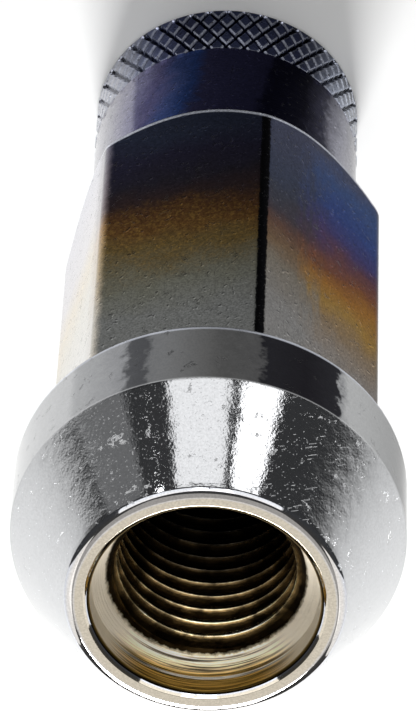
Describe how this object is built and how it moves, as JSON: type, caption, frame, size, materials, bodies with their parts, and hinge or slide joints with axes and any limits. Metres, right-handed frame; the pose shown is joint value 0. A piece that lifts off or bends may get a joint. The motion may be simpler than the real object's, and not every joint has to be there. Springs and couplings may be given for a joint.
{
  "type": "open-ended lug nut",
  "caption": "Long open-ended lug nut with a conical seat, a flange, a hexagon drive, a smooth neck and a knurled end; threaded right through, heat-tinted plating.",
  "frame": {"origin": "centre of the knurled end face, on which the nut stands", "axes": "+Z along the thread's axis from the knurled end towards the conical seat; +X through a corner of the hexagon"},
  "size_m": [0.0274, 0.0274, 0.0605],
  "materials": {
    "plated_steel": "bright plating, heat-tinted from silver at the seat through straw and bronze to blue-black at the knurled end"
  },
  "bodies": {
    "root": {"lug_nut": "plated_steel"}
  },
  "joints": []
}
